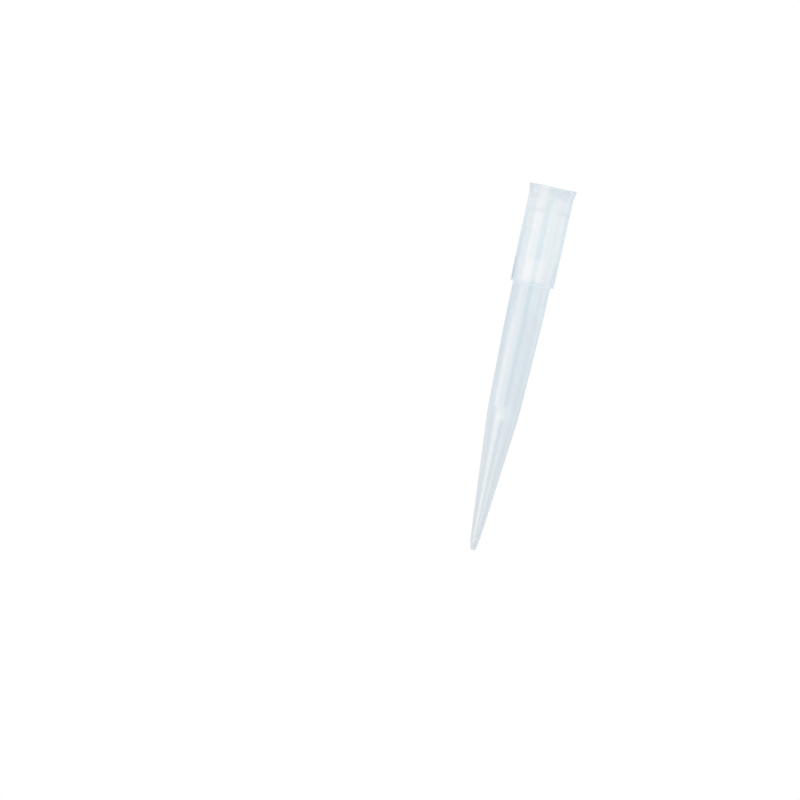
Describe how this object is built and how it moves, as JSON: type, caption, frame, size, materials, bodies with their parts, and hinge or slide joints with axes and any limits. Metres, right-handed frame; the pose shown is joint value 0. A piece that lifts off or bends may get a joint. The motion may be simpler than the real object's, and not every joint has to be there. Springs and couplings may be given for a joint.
{
  "type": "pipette tip",
  "caption": "Slim tapered tube with a flared, stepped socket collar for a pipette's nozzle and a fine orifice at the point, for drawing up and dispensing measured liquid.",
  "frame": {"origin": "centre of the rim's flat face, which the tip stands on when it is set down point up", "axes": "+Z along the tip's axis, from the rim to the orifice; X and Y lie in the rim's face and are alike, because the part is round"},
  "size_m": [0.0092, 0.0092, 0.071],
  "materials": {
    "natural_polypropylene": "clear, faintly milky and cool white, smooth as moulded"
  },
  "bodies": {
    "root": {"pipette_tip": "natural_polypropylene"}
  },
  "joints": []
}
